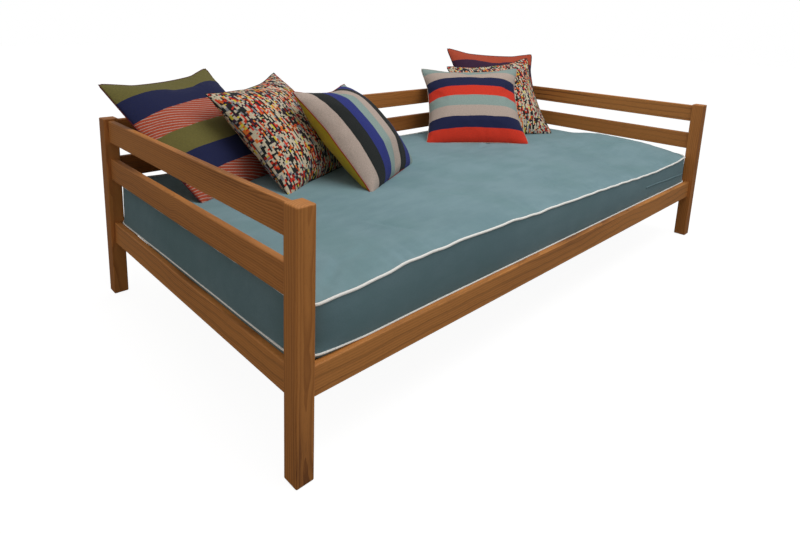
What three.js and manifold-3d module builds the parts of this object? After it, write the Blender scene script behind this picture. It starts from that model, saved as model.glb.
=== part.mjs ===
// Timber daybed with a low gallery on three sides, a slatted base, a mattress and six scatter cushions.
// Millimetres, +Z up. The frame is laid out from its front left outer corner and then moved so that
// the origin is the centre of the whole object's underside.
import * as THREE from 'three';
import { mergeVertices } from 'three/addons/utils/BufferGeometryUtils.js';
import Module from 'manifold-3d';

const wasm = await Module();
wasm.setup();

// Frame
const LENGTH = 2120;
const DEPTH = 1060;
const HEIGHT = 580;
const POST = 44;
const GLIDE_LIFT = 2;
const RAIL_THICK = 18;
const RAIL_TALL = 68;
const TOP_RAIL_Z = 506;
const MID_RAIL_Z = 386;
const BED_RAIL_Z = 176;
const EASE = 3;
const FIT = 0.3;
const SETBACK = (POST - RAIL_THICK) / 2;
const INNER = SETBACK + RAIL_THICK;

// Joints of the frame
const TENON = { thick: 10, tall: 48, long: 16 };
const HOUSING = 6;
const STUD = { r: 3, long: 62, inPost: 20 };
const NUT = { flats: 10, thick: 6, flangeR: 6, flangeThick: 1.5, inset: 24 };
const POCKET = { long: 22, tall: 20, deep: 15.5 };

// Slatted base
const SLAT = { count: 14, wide: 70, thick: 18, top: 230 };
const CLEAT = { thick: 22, tall: 24, inset: 60 };
const BEAM = { wide: 45, tall: 33, lap: 14 };
const BLOCK = { thick: 24, wide: 96 };
const GLIDE = { r: 12, thick: 5 };

// Mattress
const MATTRESS = { gapX: 9, gapY: 5, bottom: 232.5, top: 366, cornerR: 45, edge: 14 };

// Cushions: the four corner tips of each cushion's seam (near left, near right, far left, far right),
// and how far the front and the back of the cover swell from the seam. PULL_IN draws the sides in
// between the tips.
const PULL_IN = 0.12;
const CUSHION_GRID = 12;
const CUSHIONS = [
  { name: 'cushion_left_rear', front: 64, back: 48, color: 0x1b2147,
    tips: [[140, 655, 376], [596, 842, 377], [-30, 946, 696], [398, 1132, 710]] },
  { name: 'cushion_left_middle', front: 84, back: 74, color: 0x8a7468,
    tips: [[369, 561, 377], [756, 745, 377], [226, 797, 670], [605, 1002, 700]] },
  { name: 'cushion_left_front', front: 84, back: 80, color: 0x27324f,
    tips: [[577, 421, 376], [966, 610, 374], [469, 693, 671], [847, 889, 653]] },
  { name: 'cushion_right_rear', front: 46, back: 36, color: 0x3a1b38,
    tips: [[1613, 908, 377], [1996, 667, 376], [1755, 1135, 757], [2149, 877, 735]] },
  { name: 'cushion_right_middle', front: 55, back: 42, color: 0x8a7468,
    tips: [[1500, 771, 375], [1897, 574, 379], [1637, 1035, 678], [2032, 829, 719]] },
  { name: 'cushion_right_front', front: 70, back: 46, color: 0xb8322a,
    tips: [[1249, 802, 375], [1595, 514, 380], [1473, 1054, 670], [1817, 750, 685]] },
];

// Finishes
const oak = finish(0x8a5a2c, 0.5, 0);
const oakInside = finish(0x9c6c3a, 0.6, 0);
const pineSlat = finish(0xc9a878, 0.65, 0);
const steel = finish(0x9a9c9e, 0.35, 1);
const glidePlastic = finish(0x3a332c, 0.6, 0);
const cover = finish(0x5f7c84, 0.85, 0);

function finish(color, roughness, metalness) {
  return new THREE.MeshStandardMaterial({ color, roughness, metalness });
}

// Solids

function closed(geometry) {
  const bare = geometry.clone();
  bare.deleteAttribute('normal');
  bare.deleteAttribute('uv');
  return mergeVertices(bare, 1e-4);
}

function solid(geometry) {
  const merged = closed(geometry);
  return new wasm.Manifold(new wasm.Mesh({
    numProp: 3,
    vertProperties: Float32Array.from(merged.attributes.position.array),
    triVerts: Uint32Array.from(merged.index.array),
  }));
}

function fromSolid(body) {
  const mesh = body.getMesh();
  const geometry = new THREE.BufferGeometry();
  geometry.setAttribute('position', new THREE.BufferAttribute(mesh.vertProperties, 3));
  geometry.setIndex(new THREE.BufferAttribute(mesh.triVerts, 1));
  return geometry;
}

function cut(geometry, tools) {
  return fromSolid(tools.reduce((body, tool) => body.subtract(solid(tool)), solid(geometry)));
}

function join(geometry, others) {
  return fromSolid(others.reduce((body, other) => body.add(solid(other)), solid(geometry)));
}

function box(x0, x1, y0, y1, z0, z1) {
  const geometry = new THREE.BoxGeometry(x1 - x0, y1 - y0, z1 - z0);
  return geometry.translate((x0 + x1) / 2, (y0 + y1) / 2, (z0 + z1) / 2);
}

function roundedOutline(width, height, radius) {
  const x = width / 2;
  const y = height / 2;
  const quarter = Math.PI / 2;
  const shape = new THREE.Shape();
  shape.absarc(x - radius, y - radius, radius, 0, quarter);
  shape.absarc(radius - x, y - radius, radius, quarter, 2 * quarter);
  shape.absarc(radius - x, radius - y, radius, 2 * quarter, 3 * quarter);
  shape.absarc(x - radius, radius - y, radius, 3 * quarter, 4 * quarter);
  shape.closePath();
  return shape;
}

// A bar with every edge eased, standing on z = 0 and centred on the Z axis.
function easedBar(width, thick, long, ease, segments) {
  const shape = roundedOutline(width - 2 * ease, thick - 2 * ease, 0.6);
  const geometry = new THREE.ExtrudeGeometry(shape, {
    depth: long - 2 * ease,
    bevelEnabled: true,
    bevelThickness: ease,
    bevelSize: ease,
    bevelSegments: segments,
    curveSegments: segments,
  });
  return geometry.translate(0, 0, ease);
}

// The same bar lying along X or Y, with its low end at the given place.
function barAlongX(x0, x1, yMid, zLow, thick, tall, ease) {
  const bar = easedBar(tall, thick, x1 - x0, ease, ease > 2 ? 2 : 1);
  return bar.rotateY(Math.PI / 2).translate(x0, yMid, zLow + tall / 2);
}

function barAlongY(xMid, y0, y1, zLow, thick, tall, ease) {
  const bar = easedBar(thick, tall, y1 - y0, ease, ease > 2 ? 2 : 1);
  return bar.rotateX(-Math.PI / 2).translate(xMid, y0, zLow + tall / 2);
}

function rodAlongX(x0, x1, yMid, zMid, radius, sides = 16) {
  const rod = new THREE.CylinderGeometry(radius, radius, x1 - x0, sides);
  return rod.rotateZ(Math.PI / 2).translate((x0 + x1) / 2, yMid, zMid);
}

// The group of all pieces

const daybed = new THREE.Group();

function add(name, geometry, material) {
  const mesh = new THREE.Mesh(closed(geometry), material);
  mesh.name = name;
  daybed.add(mesh);
}

// Posts, with mortises for the stub tenons, housings for the bolted rails and a recess for the glide.

const CORNERS = [
  { name: 'front_left', x: POST / 2, y: POST / 2, toX: 1, toY: 1 },
  { name: 'front_right', x: LENGTH - POST / 2, y: POST / 2, toX: -1, toY: 1 },
  { name: 'back_left', x: POST / 2, y: DEPTH - POST / 2, toX: 1, toY: -1 },
  { name: 'back_right', x: LENGTH - POST / 2, y: DEPTH - POST / 2, toX: -1, toY: -1 },
];
const RAIL_MID = RAIL_TALL / 2;
const STUD_Z = BED_RAIL_Z + RAIL_MID;

function mortise(corner, alongX, zMid) {
  const half = POST / 2;
  const side = TENON.thick / 2 + FIT;
  const up = TENON.tall / 2 + FIT;
  const depth = TENON.long + FIT;
  const tool = alongX
    ? box(half - depth, half + 1, -side, side, -up, up)
    : box(-side, side, half - depth, half + 1, -up, up);
  const turn = alongX ? corner.toX : corner.toY;
  if (turn < 0) tool.rotateZ(Math.PI);
  return tool.translate(corner.x, corner.y, zMid);
}

function housing(corner) {
  const half = POST / 2;
  const side = RAIL_THICK / 2 + FIT;
  const up = RAIL_MID + FIT;
  const socket = box(half - HOUSING - FIT, half + 1, -side, side, -up, up);
  const bore = rodAlongX(half - HOUSING - STUD.inPost - FIT, half + 1, 0, 0, STUD.r + FIT);
  return [socket, bore].map((tool) => {
    if (corner.toX < 0) tool.rotateZ(Math.PI);
    return tool.translate(corner.x, corner.y, STUD_Z);
  });
}

function glideRecess(corner) {
  const top = GLIDE.thick + FIT;
  const recess = new THREE.CylinderGeometry(GLIDE.r + FIT, GLIDE.r + FIT, top, 24);
  return recess.rotateX(Math.PI / 2).translate(corner.x, corner.y, top / 2);
}

for (const corner of CORNERS) {
  const post = easedBar(POST, POST, HEIGHT - GLIDE_LIFT, EASE, 3);
  post.translate(corner.x, corner.y, GLIDE_LIFT);
  const endRails = [TOP_RAIL_Z, MID_RAIL_Z, BED_RAIL_Z].map((z) => mortise(corner, false, z + RAIL_MID));
  const backRails = [TOP_RAIL_Z, MID_RAIL_Z].map((z) => mortise(corner, true, z + RAIL_MID));
  const atBack = corner.toY < 0;
  const cuts = [...endRails, ...(atBack ? backRails : []), ...housing(corner), glideRecess(corner)];
  add(`post_${corner.name}`, cut(post, cuts), oak);
  const glide = new THREE.CylinderGeometry(GLIDE.r, GLIDE.r, GLIDE.thick, 24);
  glide.rotateX(Math.PI / 2).translate(corner.x, corner.y, GLIDE.thick / 2);
  add(`foot_glide_${corner.name}`, glide, glidePlastic);
}

// End rails: three at each end, tenoned into the posts.

function endRail(xMid, zLow) {
  const bar = barAlongY(xMid, POST + FIT, DEPTH - POST - FIT, zLow, RAIL_THICK, RAIL_TALL, 2.5);
  const reach = TENON.long - FIT;
  const side = TENON.thick / 2;
  const low = zLow + RAIL_MID - TENON.tall / 2;
  const tenon = box(xMid - side, xMid + side, POST - reach, DEPTH - POST + reach, low, low + TENON.tall);
  return join(bar, [tenon]);
}

const ENDS = [
  { name: 'left', x: POST / 2 },
  { name: 'right', x: LENGTH - POST / 2 },
];
const LEVELS = [
  { name: 'top', z: TOP_RAIL_Z },
  { name: 'middle', z: MID_RAIL_Z },
];
for (const end of ENDS) {
  for (const level of LEVELS) add(`${end.name}_end_${level.name}_rail`, endRail(end.x, level.z), oak);
  add(`${end.name}_end_bed_rail`, endRail(end.x, BED_RAIL_Z), oak);
}

// Back rails above the mattress: tenoned in the same way, along the length.

function backRail(zLow) {
  const yMid = DEPTH - POST / 2;
  const bar = barAlongX(POST + FIT, LENGTH - POST - FIT, yMid, zLow, RAIL_THICK, RAIL_TALL, 2.5);
  const reach = TENON.long - FIT;
  const side = TENON.thick / 2;
  const low = zLow + RAIL_MID - TENON.tall / 2;
  const tenon = box(POST - reach, LENGTH - POST + reach, yMid - side, yMid + side, low, low + TENON.tall);
  return join(bar, [tenon]);
}

for (const level of LEVELS) add(`back_${level.name}_rail`, backRail(level.z), oak);

// Long bed rails: housed in the posts, and drawn up by a stud and a flange nut in a pocket at each end.

function longBedRail(yMid, inward) {
  const x0 = POST - HOUSING + FIT;
  const x1 = LENGTH - x0;
  const bar = barAlongX(x0, x1, yMid, BED_RAIL_Z, RAIL_THICK, RAIL_TALL, 2.5);
  const face = yMid + (inward * RAIL_THICK) / 2;
  const floor = face - inward * POCKET.deep;
  const yLow = Math.min(floor, face + inward);
  const yHigh = Math.max(floor, face + inward);
  const tools = [];
  for (const toX of [1, -1]) {
    const end = toX > 0 ? x0 : x1;
    const near = end + toX * NUT.inset;
    const far = near + toX * POCKET.long;
    const zLow = STUD_Z - POCKET.tall / 2;
    tools.push(box(Math.min(near, far), Math.max(near, far), yLow, yHigh, zLow, zLow + POCKET.tall));
    const deep = near + toX * (POCKET.long + 4);
    tools.push(rodAlongX(Math.min(end - toX, deep), Math.max(end - toX, deep), yMid, STUD_Z, STUD.r + FIT));
  }
  return cut(bar, tools);
}

const LONG_SIDES = [
  { name: 'front', y: POST / 2, inward: 1 },
  { name: 'back', y: DEPTH - POST / 2, inward: -1 },
];
for (const side of LONG_SIDES) add(`${side.name}_bed_rail`, longBedRail(side.y, side.inward), oak);

// A hexagonal flange nut on its side, its flange towards the post.
function flangeNut() {
  const hex = new THREE.CylinderGeometry(NUT.flats / Math.sqrt(3), NUT.flats / Math.sqrt(3), NUT.thick, 6);
  const flange = new THREE.CylinderGeometry(NUT.flangeR, NUT.flangeR, NUT.flangeThick, 24);
  flange.translate(0, (NUT.flangeThick - NUT.thick) / 2, 0);
  const bore = new THREE.CylinderGeometry(STUD.r + FIT, STUD.r + FIT, NUT.thick + 2, 16);
  return cut(join(hex, [flange]), [bore]);
}

for (const corner of CORNERS) {
  const inner = corner.x + (corner.toX * POST) / 2;
  const start = inner - corner.toX * (HOUSING + STUD.inPost);
  const finishX = start + corner.toX * STUD.long;
  const rod = rodAlongX(Math.min(start, finishX), Math.max(start, finishX), corner.y, STUD_Z, STUD.r);
  add(`bed_rail_stud_${corner.name}`, rod, steel);
  const nut = flangeNut().rotateZ(-corner.toX * Math.PI / 2);
  const seat = inner - corner.toX * (HOUSING - FIT) + corner.toX * (NUT.inset + FIT + NUT.thick / 2);
  nut.translate(seat, corner.y, STUD_Z);
  add(`bed_rail_nut_${corner.name}`, nut, steel);
}

// Slatted base: cleats along the bed rails, a centre beam on notched blocks, and the slats across.

const SLAT_LOW = SLAT.top - SLAT.thick;
for (const side of LONG_SIDES) {
  const yMid = side.y + side.inward * (RAIL_THICK / 2 + FIT + CLEAT.thick / 2);
  const cleat = barAlongX(CLEAT.inset, LENGTH - CLEAT.inset, yMid, SLAT_LOW - FIT - CLEAT.tall,
    CLEAT.thick, CLEAT.tall, 1.5);
  add(`slat_cleat_${side.name}`, cleat, oakInside);
}

const BEAM_TOP = SLAT_LOW - FIT;
const BEAM_LOW = BEAM_TOP - BEAM.tall;
const LAP_Z = BEAM_LOW + BEAM.lap;

function centreBeam() {
  const x0 = INNER + 2;
  const x1 = LENGTH - INNER - 2;
  const yMid = DEPTH / 2;
  const bar = barAlongX(x0, x1, yMid, BEAM_LOW, BEAM.wide, BEAM.tall, 1.5);
  const laps = [[x0 - 1, x0 + BLOCK.thick], [x1 - BLOCK.thick, x1 + 1]];
  return cut(bar, laps.map(([a, b]) => box(a, b, yMid - BEAM.wide, yMid + BEAM.wide, BEAM_LOW - 1, LAP_Z)));
}

function notchedBlock(xLow) {
  const yMid = DEPTH / 2;
  const half = BEAM.wide / 2 + FIT;
  const body = box(xLow, xLow + BLOCK.thick, yMid - BLOCK.wide / 2, yMid + BLOCK.wide / 2, BEAM_LOW, BEAM_TOP);
  const notch = box(xLow - 1, xLow + BLOCK.thick + 1, yMid - half, yMid + half, LAP_Z - FIT, BEAM_TOP + 1);
  return cut(body, [notch]);
}

add('centre_beam', centreBeam(), oakInside);
add('beam_block_left', notchedBlock(INNER + FIT), oakInside);
add('beam_block_right', notchedBlock(LENGTH - INNER - FIT - BLOCK.thick), oakInside);

const SLAT_RUN = LENGTH - 2 * CLEAT.inset - SLAT.wide;
for (let i = 0; i < SLAT.count; i += 1) {
  const xMid = CLEAT.inset + SLAT.wide / 2 + (SLAT_RUN * i) / (SLAT.count - 1);
  const slat = barAlongY(xMid, INNER + 2, DEPTH - INNER - 2, SLAT_LOW, SLAT.wide, SLAT.thick, 1.5);
  add(`slat_${String(i + 1).padStart(2, '0')}`, slat, pineSlat);
}

// Mattress: a plain rounded block the size of the cover.

function mattress() {
  const width = LENGTH - 2 * (INNER + MATTRESS.gapX);
  const depth = DEPTH - 2 * (INNER + MATTRESS.gapY);
  const edge = MATTRESS.edge;
  const shape = roundedOutline(width - 2 * edge, depth - 2 * edge, MATTRESS.cornerR - edge);
  const block = new THREE.ExtrudeGeometry(shape, {
    depth: MATTRESS.top - MATTRESS.bottom - 2 * edge,
    bevelEnabled: true,
    bevelThickness: edge,
    bevelSize: edge,
    bevelSegments: 3,
    curveSegments: 5,
  });
  return block.translate(LENGTH / 2, DEPTH / 2, MATTRESS.bottom + edge);
}

add('mattress', mattress(), cover);

// Cushions: two swelling faces that meet at a seam, pulled in between its four corner tips.

function seamPoint(tips, u, v) {
  const s = (1 + u * (1 - PULL_IN * u * u * (1 - v * v))) / 2;
  const t = (1 + v * (1 - PULL_IN * v * v * (1 - u * u))) / 2;
  const [nearLeft, nearRight, farLeft, farRight] = tips.map((tip) => new THREE.Vector3(...tip));
  const near = nearLeft.lerp(nearRight, s);
  const far = farLeft.lerp(farRight, s);
  return near.lerp(far, t);
}

function cushionNormal(tips) {
  const across = seamPoint(tips, 1, 0).sub(seamPoint(tips, -1, 0));
  const up = seamPoint(tips, 0, 1).sub(seamPoint(tips, 0, -1));
  return across.cross(up).normalize();
}

function cushion(tips, front, back) {
  const normal = cushionNormal(tips);
  const n = CUSHION_GRID;
  const positions = [];
  const index = [];
  for (const swell of [front, -back]) {
    for (let j = 0; j <= n; j += 1) {
      for (let i = 0; i <= n; i += 1) {
        const u = Math.sin(((2 * i) / n - 1) * (Math.PI / 2));
        const v = Math.sin(((2 * j) / n - 1) * (Math.PI / 2));
        const rise = swell * Math.sqrt(Math.max(0, (1 - u * u) * (1 - v * v)));
        positions.push(...seamPoint(tips, u, v).addScaledVector(normal, rise).toArray());
      }
    }
  }
  for (const layer of [0, 1]) {
    for (let j = 0; j < n; j += 1) {
      for (let i = 0; i < n; i += 1) {
        const a = layer * (n + 1) ** 2 + j * (n + 1) + i;
        const [b, c, d] = [a + 1, a + n + 2, a + n + 1];
        index.push(...(layer === 0 ? [a, b, c, a, c, d] : [a, c, b, a, d, c]));
      }
    }
  }
  const geometry = new THREE.BufferGeometry();
  geometry.setAttribute('position', new THREE.Float32BufferAttribute(positions, 3));
  geometry.setIndex(index);
  return geometry;
}

for (const { name, tips, front, back, color } of CUSHIONS) {
  add(name, cushion(tips, front, back), finish(color, 0.9, 0));
}

// Origin: the centre of the whole object's underside.
const whole = new THREE.Box3().setFromObject(daybed, true);
daybed.position.set(-(whole.min.x + whole.max.x) / 2, -(whole.min.y + whole.max.y) / 2, 0);
daybed.updateMatrixWorld(true);

export default daybed;
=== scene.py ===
"""Looks of a timber daybed: a railed frame, a piped mattress and six scatter cushions on their CAD places."""
import math

import bpy
import numpy as np
from mathutils import Matrix, Vector


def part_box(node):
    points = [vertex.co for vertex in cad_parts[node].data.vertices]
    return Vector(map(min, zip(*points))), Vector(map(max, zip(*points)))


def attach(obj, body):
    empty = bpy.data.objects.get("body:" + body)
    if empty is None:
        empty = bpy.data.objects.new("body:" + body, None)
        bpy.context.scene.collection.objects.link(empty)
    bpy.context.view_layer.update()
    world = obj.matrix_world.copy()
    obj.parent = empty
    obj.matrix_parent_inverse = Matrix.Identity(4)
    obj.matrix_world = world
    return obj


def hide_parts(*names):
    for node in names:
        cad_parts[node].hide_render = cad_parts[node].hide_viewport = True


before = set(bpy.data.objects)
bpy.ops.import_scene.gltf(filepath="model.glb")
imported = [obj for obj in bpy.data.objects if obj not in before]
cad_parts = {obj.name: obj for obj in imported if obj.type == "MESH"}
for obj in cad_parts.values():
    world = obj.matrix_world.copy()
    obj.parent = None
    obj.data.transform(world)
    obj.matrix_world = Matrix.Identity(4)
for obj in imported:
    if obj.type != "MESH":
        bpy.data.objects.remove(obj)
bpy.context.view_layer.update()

bl_info = {
    "name": "Timber Daybed",
    "version": (1, 0, 0),
    "blender": (4, 5, 0),
    "location": "View3D > Sidebar > Daybed",
    "description": "Makes the timber, mattress, cushions and studio of a railed daybed around its CAD frame",
    "category": "Object",
}

MATTRESS_LOW, MATTRESS_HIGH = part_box("mattress")


def rgb(code):
    """A hexadecimal sRGB colour as the linear RGBA that shaders take."""
    parts = [int(code[i:i + 2], 16) / 255 for i in (0, 2, 4)]
    return tuple((c / 12.92 if c <= 0.04045 else ((c + 0.055) / 1.055) ** 2.4) for c in parts) + (1.0,)


# Sizes and colours that a user may change

def colour_prop(name, description, code):
    return bpy.props.FloatVectorProperty(
        name=name, description=description, subtype="COLOR", size=4, min=0, max=1, default=rgb(code)
    )


def length_prop(name, description, default):
    return bpy.props.FloatProperty(
        name=name, description=description, default=default, min=0, subtype="DISTANCE", unit="LENGTH"
    )


class TimberSettings(bpy.types.PropertyGroup):
    """Colours and figure of the timber."""

    light: colour_prop("Early wood", "Colour of the pale part of a growth ring", "D38D49")
    dark: colour_prop("Late wood", "Colour of the dark part of a growth ring", "A1612B")
    streak: colour_prop("Streaks", "Colour of pores, knots and dark streaks", "55311A")
    slat: colour_prop("Slats", "Colour of the softwood slats", "C9A878")
    ring: length_prop("Ring spacing", "Distance from one growth ring to the next", 0.006)
    roughness: bpy.props.FloatProperty(
        name="Roughness", description="Roughness of the oiled surface", default=0.48, min=0, max=1
    )


class MattressSettings(bpy.types.PropertyGroup):
    """Cover, piping and swell of the mattress."""

    cover: colour_prop("Cover", "Colour of the brushed cover", "8AA8AF")
    cover_shade: colour_prop("Cover shade", "Colour where the pile is brushed the other way", "7C9BA2")
    piping: colour_prop("Piping", "Colour of the corded seams", "FFFEF8")
    piping_radius: length_prop("Piping radius", "Radius of the upper corded seam", 0.0034)
    crown: length_prop("Crown", "How far the middle of the top stands above its seam", 0.005)
    lift: length_prop("Lift", "Furthest that the filling may move the cover", 0.007)
    roll: length_prop("Edge roll", "Height of the rolled edge below the lower seam", 0.011)
    wave: length_prop("Wave", "How far the seams wander up and down", 0.0018)


class CushionSettings(bpy.types.PropertyGroup):
    """Filling and cloth of the scatter cushions."""

    pressure: bpy.props.FloatProperty(
        name="Pressure", description="Pressure of the filling in the cloth simulation", default=4.0, min=0
    )
    cells: bpy.props.IntProperty(
        name="Cells", description="Cloth cells along a cushion's side", default=40, min=8, max=80
    )
    lift: length_prop("Lift", "Furthest that the filling may move the cover", 0.06)
    cord: length_prop("Seam", "Radius of the cord in the seam", 0.0014)


class StudioSettings(bpy.types.PropertyGroup):
    """Camera and light of the studio."""

    eye: bpy.props.FloatVectorProperty(
        name="Eye", description="Place of the camera", size=3, subtype="TRANSLATION", unit="LENGTH",
        default=(-1.5955, -1.3248, 0.9096),
    )
    heading: bpy.props.FloatProperty(
        name="Heading", description="Turn of the camera to the right of the view along the depth",
        default=math.radians(42.48), subtype="ANGLE",
    )
    pitch: bpy.props.FloatProperty(
        name="Pitch", description="Fall of the view below the horizon",
        default=math.radians(11.503), subtype="ANGLE",
    )
    roll: bpy.props.FloatProperty(
        name="Roll", description="Turn of the camera about its view",
        default=math.radians(1.562), subtype="ANGLE",
    )
    lens: bpy.props.FloatProperty(
        name="Lens", description="Focal length in millimetres", default=25.096, min=5
    )
    shift_x: bpy.props.FloatProperty(name="Shift X", description="Sideways shift of the lens", default=0.0426)
    shift_y: bpy.props.FloatProperty(name="Shift Y", description="Upward shift of the lens", default=-0.1713)
    world: bpy.props.FloatProperty(name="World", description="Strength of the light all round", default=0.35)
    key: bpy.props.FloatProperty(
        name="Key light", description="Power of the light above", default=55, subtype="POWER", unit="POWER"
    )
    fill: bpy.props.FloatProperty(
        name="Fill light", description="Power of the light in front", default=6, subtype="POWER", unit="POWER"
    )
    warm: bpy.props.FloatProperty(
        name="Warm light", description="Power of the warm light at the left",
        default=4, subtype="POWER", unit="POWER",
    )
    floor: colour_prop("Floor", "Colour of the floor and the backdrop", "F4F3F1")


# Shader trees

class Out:
    """An output socket. Arithmetic on it adds Math nodes to its tree."""

    def __init__(self, tree, socket):
        self.tree = tree
        self.socket = socket

    def math(self, operation, first, second=None):
        return self.tree.node("ShaderNodeMath", {"operation": operation}, {0: first, 1: second})

    def __add__(self, other):
        return self.math("ADD", self, other)

    def __radd__(self, other):
        return self.math("ADD", other, self)

    def __sub__(self, other):
        return self.math("SUBTRACT", self, other)

    def __rsub__(self, other):
        return self.math("SUBTRACT", other, self)

    def __mul__(self, other):
        return self.math("MULTIPLY", self, other)

    def __rmul__(self, other):
        return self.math("MULTIPLY", other, self)

    def __truediv__(self, other):
        return self.math("DIVIDE", self, other)

    def __gt__(self, other):
        return self.math("GREATER_THAN", self, other)

    def __lt__(self, other):
        return self.math("LESS_THAN", self, other)

    def sine(self):
        return self.math("SINE", self)

    def root(self):
        return self.math("SQRT", self)

    def fraction(self):
        return self.math("FRACT", self)

    def floor(self):
        return self.math("FLOOR", self)

    def size(self):
        return self.math("ABSOLUTE", self)


class Finish:
    """One material's node tree, with its shader."""

    def __init__(self, name):
        self.material = bpy.data.materials.new(name)
        self.material.use_nodes = True
        self.nodes = self.material.node_tree.nodes
        self.links = self.material.node_tree.links
        self.shader = next(n for n in self.nodes if n.type == "BSDF_PRINCIPLED")

    def node(self, kind, settings=None, sockets=None, output=0):
        """A node of one kind: its settings first, then the values or links of its sockets."""
        made = self.nodes.new(kind)
        for key, value in (settings or {}).items():
            if key == "stops":
                self.set_stops(made.color_ramp, value)
            elif key == "steps":
                made.color_ramp.interpolation = value
            else:
                setattr(made, key, value)
        self.plug(made, sockets or {})
        return Out(self, made.outputs[output])

    def set_stops(self, ramp, stops):
        while len(ramp.elements) < len(stops):
            ramp.elements.new(1.0)
        for element, (place, colour) in zip(ramp.elements, stops):
            element.position = place
            element.color = colour

    def plug(self, made, sockets):
        for key, value in sockets.items():
            if isinstance(value, Out):
                self.links.new(value.socket, made.inputs[key])
            elif value is not None:
                made.inputs[key].default_value = value

    def surface(self, **sockets):
        """Sets or links the shader's own sockets, named with underscores for spaces."""
        self.plug(self.shader, {key.replace("_", " "): value for key, value in sockets.items()})
        return self.material

    def place(self, kind="Object"):
        """The X, Y and Z of the piece's own coordinates."""
        coords = self.node("ShaderNodeTexCoord", output=kind)
        parts = [self.node("ShaderNodeSeparateXYZ", {}, {0: coords}, output=i) for i in range(3)]
        return parts

    def vector(self, x, y, z):
        return self.node("ShaderNodeCombineXYZ", {}, {0: x, 1: y, 2: z})

    def noise(self, vector, scale=1.0, detail=2.0, roughness=0.5):
        sockets = {"Vector": vector, "Scale": scale, "Detail": detail, "Roughness": roughness}
        return self.node("ShaderNodeTexNoise", {}, sockets)

    def ramp(self, value, stops, steps="LINEAR"):
        """A colour for each value, from (place, colour) stops."""
        return self.node("ShaderNodeValToRGB", {"stops": stops, "steps": steps}, {0: value})

    def spread(self, value, low, high):
        """The value's range from low to high as 0 to 1, with soft ends."""
        sockets = {"Value": value, "From Min": low, "From Max": high}
        return self.node("ShaderNodeMapRange", {"interpolation_type": "SMOOTHSTEP"}, sockets)

    def mix(self, factor, first, second, kind="MIX"):
        """A colour between two."""
        settings = {"data_type": "RGBA", "blend_type": kind}
        return self.node("ShaderNodeMix", settings, {0: factor, 6: first, 7: second}, output=2)

    def bump(self, height, strength, distance):
        return self.node("ShaderNodeBump", {}, {"Height": height, "Strength": strength, "Distance": distance})


# Timber

AXES = {"x": (0, 1, 2), "y": (1, 0, 2), "z": (2, 0, 1)}


def timber(name, axis, centre, seed, light, dark, streak, ring, roughness, knots=(), tone=0.0, figure=0.0):
    """Oiled timber: growth rings about a pith line beside the board, fibre, pores and knots."""
    made = Finish(name)
    place = made.place()
    along, across, through = (place[i] - centre[i] for i in AXES[axis])
    chance = np.random.default_rng(seed)
    tilt = chance.uniform(0.006, 0.016) * chance.choice((-1, 1))
    side = chance.uniform(-0.02, 0.02)
    deep = chance.uniform(0.035, 0.075) * chance.choice((-1, 1))
    shift = chance.uniform(0, 40)
    sway = made.noise(made.vector(along * 1.7 + shift, across * 5, through * 5), 1.0, 3.0, 0.55)
    near = made.noise(made.vector(along * 7 + shift, across * 30, through * 30), 1.0, 3.0, 0.6)
    away = across - side + along * tilt + (sway - 0.5) * 0.045
    depth = through - deep + (sway - 0.5) * 0.03
    radius = (away * away + depth * depth).root()
    rings = radius / ring + (near - 0.5) * 0.9
    for k_along, k_across, k_size in knots:
        dx = along - k_along
        dy = away - k_across
        gap = (dx * dx * 0.25 + dy * dy).root()
        rings = rings + 2.6 * made.spread(gap, k_size * 4, 0.0)
    late = made.spread(rings.fraction(), 0.25, 0.95)
    patch = made.noise(made.vector(along * 1.1 + shift, across * 9, through * 9), 1.0, 2.0)
    fibre = made.noise(made.vector(along * 22 + shift, across * 900, through * 900), 1.0, 3.0, 0.65)
    pores = made.noise(made.vector(along * 60 + shift, across * 1500, through * 1500), 1.0, 1.0)
    pore = made.spread(pores, 0.64, 0.74)
    # tone moves the whole board towards the late wood colour or away from it: partly the board's own colour,
    # partly painted shade and painted light set per board in BOARDS.
    shade = late * 0.36 + fibre * 0.3 + patch * 0.8 - 0.3 + tone
    colour = made.mix(shade, light, dark)
    dark_line = made.spread(patch + fibre * 0.3, 0.8, 0.95) * 0.5
    dark_line = dark_line + late * made.spread(patch, 0.5, 0.72) * 0.25
    sweep = (radius / (ring * 3.6) + (near - 0.5) * 0.4 + (sway - 0.5) * 2.2).fraction()
    bold = made.spread(sweep, 0.62, 0.96) * made.spread(patch, 0.3, 0.5) * figure
    mark = pore * 0.38 + dark_line + bold
    for k_along, k_across, k_size in knots:
        dx = along - k_along
        dy = away - k_across
        gap = (dx * dx * 0.5 + dy * dy).root() + (near - 0.5) * 0.004
        mark = mark + made.spread(gap, k_size, k_size * 0.35) * 0.9
    colour = made.mix(mark, colour, streak)
    height = fibre * 0.5 + late * 0.3 - pore * 0.8
    sheen = roughness + (fibre - 0.5) * 0.14 + late * 0.06
    return made.surface(
        Base_Color=colour,
        Roughness=sheen,
        Normal=made.bump(height, 0.22, 0.0006),
        Specular_IOR_Level=0.32,
    )
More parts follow.
